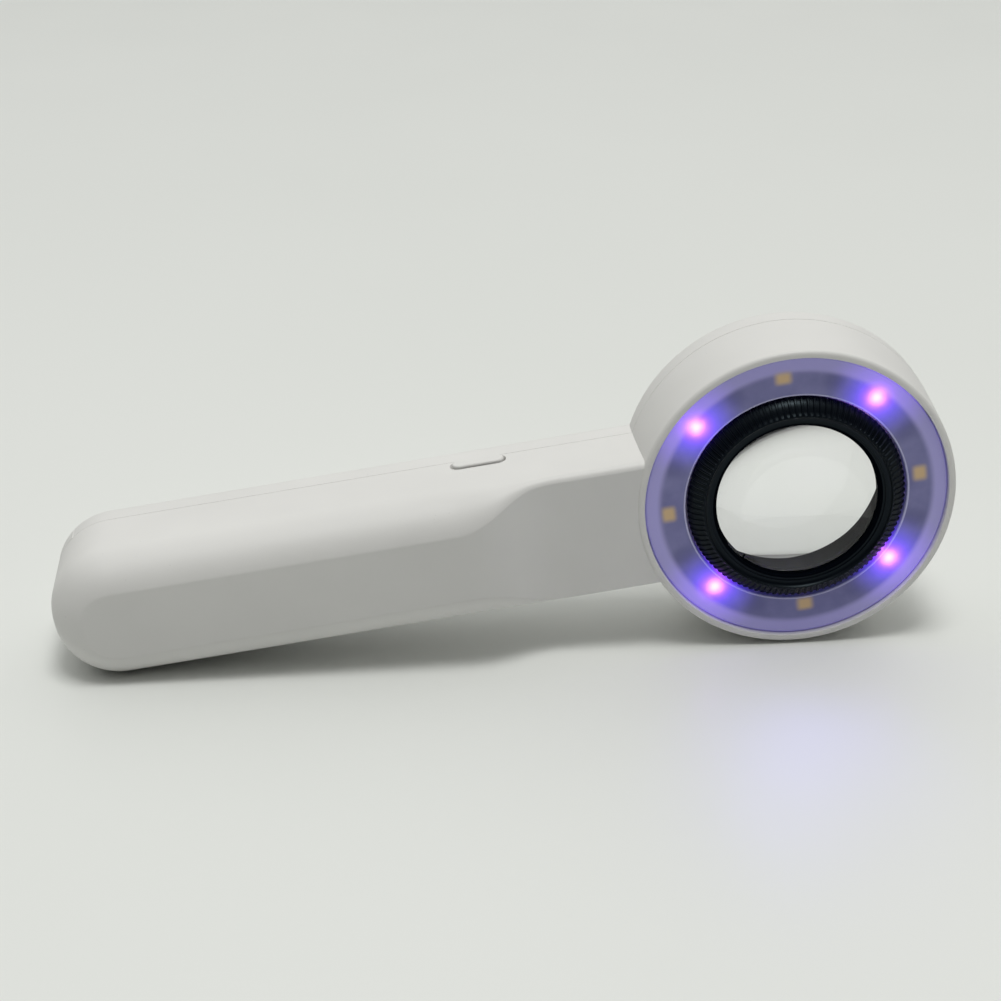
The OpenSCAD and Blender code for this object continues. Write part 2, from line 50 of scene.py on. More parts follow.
# ------------------------------------------------------------------ sizes
# Everything below is in millimetres in the magnifier's own directions: x runs
# along the handle, a across it and h is the height above the flat back.
shell_low, shell_high = (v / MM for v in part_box("front_shell"))
ring_low, ring_high = (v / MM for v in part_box("knurled_ring"))
rim_low, rim_high = (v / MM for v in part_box("diffuser_ring"))
board_foot = -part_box("led_board")[1].y / MM
inner_lip_top = -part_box("back_shell")[0].y / MM
cap_low, cap_high = (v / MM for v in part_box("power_button"))
front_low, front_high = (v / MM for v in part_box("front_lens"))
rear_low, rear_high = (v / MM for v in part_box("rear_lens"))

HEAD_R = shell_high.x
REACH = -shell_low.x
GRIP_H = -shell_low.y
# The back shell's inner lip stands 1 mm past the seam.
SEAM_H = inner_lip_top - 1.0
HEAD_H = 25.0
LIP_R = HEAD_R - 0.7
LIP_EDGE = 0.9
RECESS_R = rim_high.x + 0.2
WEB_TOP = board_foot
WEB_LOW = WEB_TOP - 1.6
HALF_W = 15.0
WALL = 2.0
CORNER_R = 14.5
NECK_H = 24.6
STEP_FAR, STEP_NEAR = 74.0, 52.0
# Edge roundings: the grip's, and the neck's on the button's side and on the other
GRIP_EDGE, NECK_EDGE, PLAIN_EDGE = 10.0, 1.9, 0.65
CREASE = math.radians(15)
# Depth of the small groove along the seam
SEAM_V = 0.13


def row(x, a, h):
    """A point of the magnifier in the shared frame, in metres."""
    return Vector((x, -h, a)) * MM


def ease(low, high, value):
    t = min(max((value - low) / (high - low), 0.0), 1.0)
    return t * t * (3 - 2 * t)


# ---------------------------------------------------------------- meshes

def make(name, verts, faces):
    """An object from points and faces, with doubled points joined."""
    mesh = bpy.data.meshes.new(name)
    mesh.from_pydata(verts, [], faces)
    bm = bmesh.new()
    bm.from_mesh(mesh)
    bmesh.ops.remove_doubles(bm, verts=bm.verts, dist=1e-7)
    bmesh.ops.recalc_face_normals(bm, faces=bm.faces)
    bm.to_mesh(mesh)
    bm.free()
    obj = bpy.data.objects.new(name, mesh)
    bpy.context.scene.collection.objects.link(obj)
    return obj


def angle_group(smooth_deg):
    """A node group that shades a mesh smooth, except across its sharp edges."""
    tree = bpy.data.node_groups.new("smooth_by_angle", "GeometryNodeTree")
    for way in ("INPUT", "OUTPUT"):
        tree.interface.new_socket("Geometry", in_out=way, socket_type="NodeSocketGeometry")
    start, end = tree.nodes.new("NodeGroupInput"), tree.nodes.new("NodeGroupOutput")
    angle = tree.nodes.new("GeometryNodeInputMeshEdgeAngle")
    sharp = tree.nodes.new("FunctionNodeCompare")
    sharp.operation = "GREATER_THAN"
    sharp.inputs[1].default_value = math.radians(smooth_deg)
    faces, edges = (tree.nodes.new("GeometryNodeSetShadeSmooth") for _ in range(2))
    edges.domain = "EDGE"
    edges.inputs["Shade Smooth"].default_value = False
    tree.links.new(angle.outputs[0], sharp.inputs[0])
    tree.links.new(start.outputs[0], faces.inputs[0])
    tree.links.new(faces.outputs[0], edges.inputs[0])
    tree.links.new(sharp.outputs[0], edges.inputs["Selection"])
    tree.links.new(edges.outputs[0], end.inputs[0])
    return tree


def soften_cad(obj, tree):
    """The same smooth shading, as modifiers, for a node of the frame."""
    obj.modifiers.new("angle", "NODES").node_group = tree
    even = obj.modifiers.new("even", "WEIGHTED_NORMAL")
    even.keep_sharp = True
    even.weight = 80


def soften(obj, smooth_deg=32.0):
    """Smooth shading with sharp edges kept, and flats that stay flat."""
    obj.data.shade_smooth()
    obj.data.set_sharp_from_angle(angle=math.radians(smooth_deg))
    even = obj.modifiers.new("even", "WEIGHTED_NORMAL")
    even.keep_sharp = True
    even.weight = 80
    return obj


def carve(obj, tool, how="DIFFERENCE"):
    """Cuts a solid with another one, joins them or keeps what they share."""
    cut = obj.modifiers.new("cut", "BOOLEAN")
    cut.operation = how
    cut.solver = "MANIFOLD"
    cut.object = tool
    shape = obj.evaluated_get(bpy.context.evaluated_depsgraph_get())
    mesh = bpy.data.meshes.new_from_object(shape)
    obj.modifiers.clear()
    obj.data = mesh
    bpy.data.objects.remove(tool)
    return obj


def grid_faces(columns, rows, closed_columns, closed_rows):
    """Four-sided faces between columns of points that each hold the same rows."""
    faces = []
    for i in range(columns if closed_columns else columns - 1):
        for j in range(rows if closed_rows else rows - 1):
            k, m = (i + 1) % columns, (j + 1) % rows
            faces.append((i * rows + j, k * rows + j, k * rows + m, i * rows + m))
    return faces


def revolve(name, profile, segments=256, shape=None):
    """Turns a profile of (radius, height) about the lens axis.
    A profile that starts on the axis is closed there; any other is a loop."""
    on_axis = profile[0][0] == 0
    body = [p for p in profile if p[0] > 0]
    rows = len(body)
    verts = []
    for i in range(segments):
        turn = 2 * math.pi * i / segments
        for j, (r, h) in enumerate(body):
            if shape:
                r, h = shape(i, j, r, h)
            verts.append(row(r * math.cos(turn), r * math.sin(turn), h))
    faces = grid_faces(segments, rows, True, not on_axis)
    if on_axis:
        first, last = len(verts), len(verts) + 1
        verts.append(row(0, 0, profile[0][1]))
        verts.append(row(0, 0, profile[-1][1]))
        for i in range(segments):
            k = (i + 1) % segments
            faces.append((first, i * rows, k * rows))
            faces.append((last, k * rows + rows - 1, i * rows + rows - 1))
    return make(name, verts, faces)


def arc(cx, cy, r, start, end, steps):
    """Points on an arc, angles in degrees, both ends included."""
    turns = [math.radians(start + (end - start) * i / steps) for i in range(steps + 1)]
    return [(cx + r * math.cos(t), cy + r * math.sin(t)) for t in turns]


def box_mm(name, low, high):
    (x0, a0, h0), (x1, a1, h1) = low, high
    verts = [row(x, a, h) for x in (x0, x1) for a in (a0, a1) for h in (h0, h1)]
    faces = [(0, 1, 3, 2), (4, 6, 7, 5), (0, 4, 5, 1), (2, 3, 7, 6), (0, 2, 6, 4), (1, 5, 7, 3)]
    return make(name, verts, faces)


def cylinder_mm(name, r, low, high, segments=256):
    return revolve(name, [(0, low), (r, low), (r, high), (0, high)], segments)


# --------------------------------------------------------- handle, as a loft

STEP_DROP = GRIP_H - NECK_H
STEP_RUN = STEP_FAR - STEP_NEAR
STEP_R = (STEP_RUN ** 2 + STEP_DROP ** 2) / (4 * STEP_DROP)


def top_at(x):
    """Height of the handle's front face: two arcs make the step."""
    if x <= -STEP_FAR:
        return GRIP_H
    if x >= -STEP_NEAR:
        return NECK_H
    if x < -(STEP_FAR + STEP_NEAR) / 2:
        return GRIP_H - STEP_R + math.sqrt(STEP_R ** 2 - (x + STEP_FAR) ** 2)
    return NECK_H + STEP_R - math.sqrt(STEP_R ** 2 - (x + STEP_NEAR) ** 2)


def edge_at(x, a):
    """The wide rounding of the grip narrows as it runs onto the neck.
    On the button's side it stays soft; on the other it narrows with the step."""
    if a > 0:
        return GRIP_EDGE + (NECK_EDGE - GRIP_EDGE) * ease(-STEP_FAR - 1, -STEP_NEAR - 4, x)
    return GRIP_EDGE + (PLAIN_EDGE - GRIP_EDGE) * (GRIP_H - top_at(x)) / STEP_DROP


def handle_solid(name, inset, low, start_x, seam_v=0.0):
    """The front half of the handle as a closed solid, all faces moved in by inset.
    The side roundings meet the front face at a slight angle, a soft crease."""
    corner_x = -REACH + CORNER_R
    spread = HALF_W - CORNER_R
    side = HALF_W - inset
    corner = CORNER_R - inset
    stations = []
    x = start_x
    while x > corner_x + 0.01:
        stations.append(x)
        x -= 0.75 if -STEP_FAR - 4 < x < -STEP_NEAR + 6 else 3.0
    path = [(x, side, 0.0, -1.0) for x in stations]
    for i in range(37):
        t = math.radians(90 + 90 * i / 36)
        path.append((
            corner_x + corner * math.cos(t), spread + corner * math.sin(t),
            -math.cos(t), -math.sin(t),
        ))
    path += [(x, -a, nx, -na) for x, a, nx, na in reversed(path)]
    steps = 20
    rows = steps + 4
    verts = []
    for x, a, nx, na in path:
        edge = max(edge_at(x, a) - inset, 0.4)
        top = top_at(x) - inset
        levels = [(seam_v, low), (0.0, low + max(seam_v, 0.01)), (0.0, (low + top - edge) / 2)]
        for k in range(steps + 1):
            t = (math.pi / 2 - CREASE) * k / steps
            levels.append((edge * (1 - math.cos(t)), top - edge * (math.cos(CREASE) - math.sin(t))))
        verts += [row(x + nx * d, a + na * d, h) for d, h in levels]
    count = len(path)
    faces = grid_faces(count, rows, False, False)
    for i in range(count // 2 - 1):
        m = count - 1 - i
        faces.append((i * rows, (i + 1) * rows, (m - 1) * rows, m * rows))
        t = rows - 1
        faces.append((i * rows + t, m * rows + t, (m - 1) * rows + t, (i + 1) * rows + t))
    last = (count - 1) * rows
    faces.append(tuple(range(rows)) + tuple(last + j for j in reversed(range(rows))))
    return make(name, verts, faces)


def stadium(name, levels, at_x, at_h, steps=16):
    """A stadium-shaped solid along the across direction. Levels are (half run, radius, a)."""
    verts = []
    around = 4 * steps + 2
    for run, r, a in levels:
        for side in (1, -1):
            for k in range(2 * steps + 1):
                t = math.radians(-90 + 90 * k / steps) + (0 if side > 0 else math.pi)
                verts.append(row(at_x + side * run + r * math.cos(t), a, at_h + r * math.sin(t)))
    faces = []
    for j in range(len(levels) - 1):
        for k in range(around):
            n = (k + 1) % around
            here, over = j * around, (j + 1) * around
            faces.append((here + k, here + n, over + n, over + k))
    faces.append(tuple(reversed(range(around))))
    faces.append(tuple((len(levels) - 1) * around + k for k in range(around)))
    return make(name, verts, faces)


def front_shell():
    """Head, neck and grip in one moulding, hollow, with its seam groove and button slot."""
    lip_h = HEAD_H - LIP_EDGE
    profile = [
        (RECESS_R, SEAM_H), (HEAD_R - SEAM_V, SEAM_H), (HEAD_R, SEAM_H + SEAM_V),
        (HEAD_R - 0.25, (SEAM_H + lip_h) / 2),
    ]
    profile += arc(LIP_R - LIP_EDGE, lip_h, LIP_EDGE, 0, 90, 10)
    inner = RECESS_R + 0.25
    profile += arc(inner, HEAD_H - 0.25, 0.25, 90, 180, 4)
    profile += [(RECESS_R, WEB_TOP), (22.0, WEB_TOP), (22.0, WEB_LOW), (RECESS_R, WEB_LOW)]
    head = revolve("head", profile, 384)

    shell = handle_solid("front_shell_fine", 0.0, SEAM_H, 0.0, SEAM_V)
    carve(shell, cylinder_mm("room", HEAD_R - 1.2, 0, 50, 384))
    carve(shell, handle_solid("hollow", WALL, SEAM_H - 5, -HEAD_R - 0.7))
    rib = handle_solid("rib", WALL - 0.2, 4.6, -50.0)
    carve(rib, box_mm("slice", (-103.6, -20, 0), (-102, 20, 40)), "INTERSECT")
    carve(shell, rib, "UNION")
    carve(shell, head, "UNION")
    room = HALF_W - WALL - 0.1
    carve(shell, box_mm("door", (-HEAD_R - 2, -room, SEAM_H - 5), (-30, room, WEB_LOW)))
    mid = (cap_low + cap_high) / 2
    slot_run, slot_r = 4.3, 1.98
    levels = [(slot_run, slot_r, 10), (slot_run, slot_r, HALF_W - 0.15)]
    levels.append((slot_run, slot_r + 0.2, HALF_W + 0.2))
    carve(shell, stadium("slot", levels, mid.x, -mid.y))
    return soften(shell)


def power_button():
    """A stadium-shaped cap with a rounded edge, on a wider flange that keeps it in the shell."""
    mid = (cap_low + cap_high) / 2
    top = cap_high.z
    run, r, edge = 4.2, 1.6, 0.45
    flange_run, flange_r, flange_top = 4.7, 2.1, cap_low.z + 0.4
    flange = (flange_run, flange_r)
    levels = [(*flange, cap_low.z), (*flange, flange_top), (run, r, flange_top)]
    for k in range(9):
        t = math.radians(90 * k / 8)
        levels.append((run, r - edge * (1 - math.cos(t)), top - edge * (1 - math.sin(t))))
    levels.append((run, r - edge - 0.5, top))
    return soften(stadium("power_button_fine", levels, mid.x, -mid.y), 40)


def knurled_ring():
    """Ridges run down the bevel and the rim; a smooth land and a hollow funnel lead to the lens."""
    low, high, r = -ring_high.y, -ring_low.y, ring_high.x
    ridges, per = 106, 8
    cell = 20.15
    funnel = high - 0.8
    bevel = 2.9
    profile = [(cell, low), (r - 0.5, low), (r - 0.12, low + 0.3), (r, low + 0.6)]
    profile += [(r, high - bevel - 0.25), (r - 0.1, high - bevel + 0.05)]
    for k in range(1, 9):
        s = k / 8
        bow = 0.28 * math.sin(math.pi * s)
        profile.append((
            r - 0.1 - (bevel - 0.3) * s + bow,
            high - bevel + 0.05 + (bevel - 0.35) * s + bow * 0.6,
        ))
    profile += [(r - bevel - 0.1, high - 0.08), (r - bevel - 0.4, high), (cell + 0.65, high)]
    for k in range(1, 9):
        t = math.radians(90 * k / 8)
        profile.append((cell + 0.6 - 1.3 * (1 - math.cos(t)), high - 0.05 - 0.75 * math.sin(t)))
    profile += [(cell - 0.75, funnel - 0.2), (cell, funnel - 0.25)]
    # Points of the profile between which the grooves run, and how deep they start and end
    first, last = 3, 14
    groove, fades = 0.34, {first: 0.6, last: 0.45}

    def shape(i, j, rr, h):
        phase = (i % per) / per
        if j < first or j > last or 0.15 < phase < 0.6:
            return rr, h
        depth = groove * fades.get(j, 1.0)
        slope = ease(first + 1, first + 3, j)
        return rr - depth * (1 - 0.45 * slope), h - depth * 0.6 * slope

    return soften(revolve("knurled_ring_fine", profile, ridges * per, shape), 38)


def lens(name, flat_h, top_h, up):
    """A flat face one way and a bulge the other."""
    r = front_high.x
    rim = 2.5
    bulge = abs(top_h - flat_h) - rim
    ball = (r * r + bulge * bulge) / (2 * bulge)
    sign = 1 if up else -1
    profile = [(0, flat_h)] + [(r * k / 12, flat_h) for k in range(1, 12)]
    profile += [(r - 0.15, flat_h), (r, flat_h + sign * 0.15), (r, flat_h + sign * (rim - 0.15))]
    for k in range(40):
        rr = (r - 0.12) * (1 - k / 40)
        rise = math.sqrt(ball * ball - rr * rr) - (ball - bulge)
        profile.append((rr, flat_h + sign * (rim + rise)))
    profile.append((0, top_h))
    return soften(revolve(name, profile, 192), 25)


def diffuser():
    """A frosted ring with a thick outer rim, softly rounded edges and a turned-in inner edge."""
    r_out, r_in = rim_high.x, ring_high.x + 0.4
    face, foot = -rim_low.y, -rim_high.y
    lip, rim_r, thick = 0.8, 30.3, 1.5
    profile = [(r_in, face - 3.4), (r_in + lip, face - 3.4), (r_in + lip, face - thick)]
    profile += [(rim_r, face - thick), (rim_r, foot), (r_out, foot)]
    profile += arc(r_out - 0.45, face - 0.45, 0.45, 0, 90, 6)
    profile += [(30.9, face), (30.6, face - 0.06), (30.1, face - 0.06), (29.8, face)]
    profile += arc(r_in + 0.35, face - 0.35, 0.35, 90, 180, 5)
    return soften(revolve("diffuser_fine", profile, 320), 40)


# ---------------------------------------------------------------- materials

class Paint:
    """A node material with short ways to add its fine detail."""

    def __init__(self, name):
        self.mat = bpy.data.materials.new(name)
        self.mat.use_nodes = True
        self.tree = self.mat.node_tree
        self.tree.nodes.clear()
        self.out = self.tree.nodes.new("ShaderNodeOutputMaterial")
        self.bsdf = self.tree.nodes.new("ShaderNodeBsdfPrincipled")
        self.link(self.bsdf.outputs[0], self.out.inputs["Surface"])
        self.coord = self.tree.nodes.new("ShaderNodeTexCoord").outputs["Object"]

    def link(self, a, b):
        self.tree.links.new(a, b)

    def put(self, socket, value):
        if isinstance(value, bpy.types.NodeSocket):
            self.link(value, socket)
        else:
            socket.default_value = value

    def set(self, **values):
        for key, value in values.items():
            self.put(self.bsdf.inputs[key.replace("_", " ")], value)

    def noise(self, scale, detail=4.0, rough=0.55, stretch=None, distortion=0.0):
        node = self.tree.nodes.new("ShaderNodeTexNoise")
        where = self.coord
        if stretch:
            turn = self.tree.nodes.new("ShaderNodeMapping")
            turn.inputs["Scale"].default_value = stretch
            turn.inputs["Rotation"].default_value = (0.2, 0.5, 0.3)
            self.link(self.coord, turn.inputs["Vector"])
            where = turn.outputs[0]
        self.link(where, node.inputs["Vector"])
        node.inputs["Scale"].default_value = scale
        node.inputs["Detail"].default_value = detail
        node.inputs["Roughness"].default_value = rough
        node.inputs["Distortion"].default_value = distortion
        return node.outputs["Fac"]

    def cells(self, scale):
        node = self.tree.nodes.new("ShaderNodeTexVoronoi")
        self.link(self.coord, node.inputs["Vector"])
        node.inputs["Scale"].default_value = scale
        return node.outputs["Distance"]

    def span(self, value, low, high, to_low, to_high, smooth=False):
        node = self.tree.nodes.new("ShaderNodeMapRange")
        if smooth:
            node.interpolation_type = "SMOOTHSTEP"
        self.put(node.inputs["Value"], value)
        ends = {"From Min": low, "From Max": high, "To Min": to_low, "To Max": to_high}
        for key, v in ends.items():
            self.put(node.inputs[key], v)
        return node.outputs["Result"]

    def math(self, how, a, b=0.0, c=0.0):
        node = self.tree.nodes.new("ShaderNodeMath")
        node.operation = how
        for socket, v in zip(node.inputs, (a, b, c)):
            self.put(socket, v)
        return node.outputs[0]

    def mix(self, factor, a, b, how="MIX"):
        node = self.tree.nodes.new("ShaderNodeMix")
        node.data_type = "RGBA"
        node.blend_type = how
        self.put(node.inputs[0], factor)
        self.put(node.inputs[6], tuple(a) + (1,) if isinstance(a, (tuple, list)) else a)
        self.put(node.inputs[7], tuple(b) + (1,) if isinstance(b, (tuple, list)) else b)
        return node.outputs[2]

    def bump(self, *layers):
        """Layers of (height, distance in millimetres, strength)."""
        normal = None
        for height, distance, strength in layers:
            node = self.tree.nodes.new("ShaderNodeBump")
            node.inputs["Distance"].default_value = distance * MM
            node.inputs["Strength"].default_value = strength
            self.link(height, node.inputs["Height"])
            if normal:
                self.link(normal, node.inputs["Normal"])
            normal = node.outputs[0]
        self.link(normal, self.bsdf.inputs["Normal"])


def shade(rgb, factor):
    return tuple(min(1.0, c * factor) for c in rgb)


def moulded(name, rgb, rough=0.36, grain=1500, grain_mm=0.02):
    """Moulded plastic: faint mottling, fine grain, hairline scuffs and specks of dust."""
    p = Paint(name)
    cloud = p.noise(35, 3)
    scuff = p.span(p.noise(120, 3, 0.6, (1.0, 9.0, 0.6), 0.6), 0.66, 0.74, 0, 0.5)
    speck = p.math("LESS_THAN", p.cells(420), 0.055)
    rare = p.math("GREATER_THAN", p.noise(60, 2), 0.6)
    dust = p.math("MULTIPLY", speck, rare)
    tone = p.mix(p.span(cloud, 0.3, 0.7, 0, 1), shade(rgb, 0.975), shade(rgb, 1.02))
    tone = p.mix(p.math("MULTIPLY", scuff, 0.1), tone, shade(rgb, 0.8))
    tone = p.mix(p.math("MULTIPLY", dust, 0.35), tone, shade(rgb, 0.6))
    p.set(Base_Color=tone)
    base = p.span(p.noise(70, 4), 0.3, 0.7, rough - 0.05, rough + 0.05)
    p.set(Roughness=p.math("ADD", base, p.math("MULTIPLY", scuff, 0.12)))
    p.set(IOR=1.5)
    p.bump((p.noise(55, 2), 0.25, 0.06), (p.noise(grain, 3, 0.6), grain_mm, 0.35))
    return p.mat


def metal(name, rgb, rough):
    """Plated or turned metal with fine brushing and tarnish."""
    p = Paint(name)
    lines = p.noise(260, 3, 0.6, (1.0, 12.0, 1.0))
    stain = p.noise(90, 4)
    p.set(Base_Color=p.mix(p.span(stain, 0.35, 0.7, 0, 1), rgb, shade(rgb, 0.8)))
    p.set(Roughness=p.span(lines, 0.3, 0.7, rough - 0.07, rough + 0.09))
    p.set(Metallic=1.0)
    p.bump((lines, 0.015, 0.4), (p.noise(1800, 2), 0.008, 0.3))
    return p.mat


def away(p, u, v):
    return p.math("SQRT", p.math("ADD", p.math("MULTIPLY", u, u), p.math("MULTIPLY", v, v)))


def from_axis(p):
    """The two directions square to the lens axis, and the distance from it, in metres."""
    parts = p.tree.nodes.new("ShaderNodeSeparateXYZ")
    p.link(p.coord, parts.inputs[0])
    x, z = parts.outputs[0], parts.outputs[2]
    return x, z, away(p, x, z)


def black_metal():
    """Black anodised aluminium with a satin face and dust in its ridges."""
    p = Paint("black_anodised")
    dust = p.span(p.noise(500, 4, 0.7), 0.6, 0.8, 0, 0.12)
    p.set(Base_Color=p.mix(dust, (0.002, 0.003, 0.0055), (0.03, 0.03, 0.036)))
    # The bore behind the front lens is blasted matt, against stray light.
    bore = p.math("LESS_THAN", from_axis(p)[2], (front_high.x + 0.3) * MM)
    satin = p.span(p.noise(240, 4), 0.3, 0.7, 0.28, 0.4)
    p.set(Roughness=p.math("ADD", satin, p.math("MULTIPLY", bore, 0.45)))
    p.set(Specular_IOR_Level=p.span(bore, 0.0, 1.0, 0.5, 0.0))
    p.set(IOR=1.26)
    p.set(Specular_Tint=(0.7, 0.9, 1.0, 1.0))
    p.bump((p.noise(1400, 3), 0.012, 0.4))
    return p.mat


def glass():
    """Clear glass with a blacked edge."""
    p = Paint("lens_glass")
    edge = p.math("GREATER_THAN", from_axis(p)[2], (front_high.x - 0.05) * MM)
    clear = p.mix(p.span(p.noise(40, 2), 0.3, 0.7, 0, 1), (0.985, 0.992, 0.99), (1, 1, 1))
    p.set(Base_Color=p.mix(edge, clear, (0.01, 0.01, 0.012)))
    p.set(Roughness=p.span(p.noise(300, 3), 0.62, 0.8, 0.0, 0.02))
    p.set(IOR=1.52)
    p.set(Specular_IOR_Level=0.2)
    p.set(Transmission_Weight=p.math("SUBTRACT", 1.0, edge))
    p.bump((p.noise(30, 1), 0.002, 0.02))
    return p.mat


def frosted():
    """Frosted plastic over the light ring, with the LEDs' glow painted on its face as emission and
    their shapes as blurred spots in its colour.
    Each pattern repeats every quarter turn, so one folded pair of coordinates
    serves all four LEDs of a kind."""
    p = Paint("frosted")
    x, z, radius = from_axis(p)
    # The LEDs lie 3 mm below the face, so from the main view they show a little off centre; the
    # painted glow is shifted to match that one view.
    x, z = p.math("ADD", x, 0.44 * MM), p.math("SUBTRACT", z, 1.4 * MM)
    reach = away(p, x, z)
    turn = p.math("ARCTAN2", z, x)
    led_r = 28.0 * MM
    fold = math.pi / 4

    def local(offset, half):
        a = p.math("WRAP", p.math("SUBTRACT", turn, offset), half, -half)
        u = p.math("MULTIPLY", reach, p.math("SINE", a))
        v = p.math("SUBTRACT", p.math("MULTIPLY", reach, p.math("COSINE", a)), led_r)
        return p.math("DIVIDE", u, MM), p.math("DIVIDE", v, MM)

    wobble = p.math("MULTIPLY", p.math("SUBTRACT", p.noise(450, 3), 0.5), 0.7)
    uv = p.math("ADD", away(p, *local(fold, fold)), wobble)
    sides = [p.math("DIVIDE", way, half) for way, half in zip(local(0.0, fold), (1.7, 1.45))]
    square = p.math("ADD", *(p.math("POWER", side, 4.0) for side in sides))
    amber = p.span(p.math("POWER", square, 0.25), 0.45, 1.5, 1, 0, True)
    su, sv = local(fold / 2, fold / 2)
    dark = p.math("ADD", away(p, su, p.math("MULTIPLY", sv, 0.75)), wobble)
    smudge = p.span(dark, 0.6, 3.4, 1, 0, True)
    rim = p.span(radius, 29.5 * MM, 31.3 * MM, 0, 1, True)
    lip = p.span(radius, (ring_high.x + 0.65) * MM, (ring_high.x + 0.95) * MM, 1, 0, True)
    near = p.span(uv, 2.0, 13.5, 1, 0, True)

    mottle = p.span(p.noise(180, 4), 0.3, 0.7, 0, 1)
    tone = p.mix(mottle, (0.165, 0.165, 0.28), (0.22, 0.22, 0.36))
    tone = p.mix(p.math("MULTIPLY", smudge, 0.5), tone, (0.08, 0.08, 0.15))
    tone = p.mix(p.math("MULTIPLY", amber, 0.85), tone, (0.62, 0.46, 0.22))
    tone = p.mix(rim, tone, (0.38, 0.365, 0.53))
    tone = p.mix(p.math("MULTIPLY", lip, 0.8), tone, (0.75, 0.75, 0.9))
    p.set(Base_Color=tone)
    p.set(Roughness=p.span(p.noise(600, 3), 0.3, 0.7, 0.34, 0.46))
    p.set(IOR=1.49)

    # Painted glow, not lamps: a bright core and halo round each UV LED, a violet wash near them and
    # in the rim, and a faint amber over the white LEDs, all as emission on the frosted face.
    def glow(distance, size):
        t = p.math("DIVIDE", distance, size)
        return p.math("EXPONENT", p.math("MULTIPLY", p.math("MULTIPLY", t, t), -1.0))

    painted_glow_core = glow(uv, 1.5)
    painted_glow_halo = glow(uv, 2.5)
    wide = p.math("MULTIPLY", near, near)
    light = p.mix(wide, (0.012, 0.012, 0.06), (0.09, 0.045, 0.85))
    light = p.mix(rim, light, p.mix(near, (0.045, 0.038, 0.15), (0.16, 0.09, 0.62)))
    light = p.mix(p.math("MULTIPLY", amber, 0.85), light, (0.10, 0.06, 0.02))
    light = p.mix(painted_glow_halo, light, (0.8, 0.08, 1.6), "ADD")
    light = p.mix(painted_glow_core, light, (1.6, 0.75, 1.3), "ADD")
    p.set(Emission_Color=light)
    p.bsdf.inputs["Emission Strength"].default_value = 1.0
    p.bump((p.noise(2200, 2), 0.01, 0.3))
    return p.mat


def emitter(name, rgb, strength):
    """Clear or phosphor resin over a lit chip, a little grainy."""
    p = Paint(name)
    grain = p.span(p.noise(900, 3), 0.3, 0.7, 0.85, 1.0)
    p.set(Base_Color=p.mix(grain, shade(rgb, 0.7), rgb))
    p.set(Emission_Color=p.mix(grain, shade(rgb, 0.7), rgb))
    p.bsdf.inputs["Emission Strength"].default_value = strength
    p.set(Roughness=p.span(p.noise(500, 2), 0.3, 0.7, 0.2, 0.35))
    p.bump((p.noise(1500, 2), 0.01, 0.2))
    return p.mat


def wrap():
    """A battery's printed wrap: a plain gold sleeve over a dark base, with seams and rubs."""
    p = Paint("cell_wrap")
    parts = p.tree.nodes.new("ShaderNodeSeparateXYZ")
    p.link(p.coord, parts.inputs[0])
    low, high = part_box("battery_1")
    at = p.span(parts.outputs[0], low.x, high.x, 0, 1)
    band = p.span(at, 0.66, 0.67, 0, 1)
    tone = p.mix(band, (0.035, 0.035, 0.04), (0.62, 0.43, 0.14))
    tone = p.mix(p.span(p.noise(300, 4, 0.7), 0.62, 0.75, 0, 0.4), tone, (0.5, 0.48, 0.42))
    p.set(Base_Color=tone)
    p.set(Metallic=0.6)
    p.set(Roughness=p.span(p.noise(220, 3), 0.3, 0.7, 0.28, 0.42))
    p.bump((p.noise(900, 3), 0.02, 0.3))
    return p.mat


WHITE = (0.772, 0.765, 0.748)
LOOKS = {
    "shell_white": moulded("shell_white", WHITE, 0.5),
    "frosted": frosted(),
    "board_white": moulded("board_white", (0.74, 0.73, 0.68), 0.45),
    "uv_led": emitter("uv_led", (0.9, 0.5, 1.0), 6.0),
    "white_led": emitter("white_led", (0.86, 0.62, 0.28), 0.15),
    "black_metal": black_metal(),
    "black_plastic": moulded("black_plastic", (0.022, 0.022, 0.025), 0.42),
    "black_rubber": moulded("black_rubber", (0.02, 0.02, 0.02), 0.7, 1200, 0.03),
    "lens_glass": glass(),
    "steel": metal("steel", (0.62, 0.62, 0.63), 0.3),
    "brass": metal("brass", (0.78, 0.58, 0.24), 0.3),
    "pcb_green": moulded("pcb_green", (0.03, 0.21, 0.07), 0.35),
    "cell_wrap": wrap(),
    "lead_red": moulded("lead_red", (0.5, 0.02, 0.015), 0.5),
    "lead_black": moulded("lead_black", (0.025, 0.025, 0.025), 0.5),
    "lead_white": moulded("lead_white", (0.74, 0.73, 0.66), 0.5),
}


def dress(obj, slot_name):
    obj.data.materials.clear()
    obj.data.materials.append(LOOKS[slot_name])
    for face in obj.data.polygons:
        face.material_index = 0


record = frame["record"]
slot_of = {part["node"]: part["material_slot"] for part in record["subparts"]}
body_of = {n: body for body, members in record["behaviour"]["bodies"].items() for n in members}
by_angle = angle_group(28)
for name, obj in frame["nodes"].items():
    dress(obj, slot_of[name])
    soften_cad(obj, by_angle)

fine = {
    "front_shell": front_shell(),
    "power_button": power_button(),
    "knurled_ring": knurled_ring(),
    "front_lens": lens("front_lens_fine", -front_low.y, -front_high.y, False),
    "rear_lens": lens("rear_lens_fine", -rear_high.y, -rear_low.y, True),
    "diffuser_ring": diffuser(),
}
for name, obj in fine.items():
    dress(obj, slot_of[name])
    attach(obj, body_of[name])
    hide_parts(name)

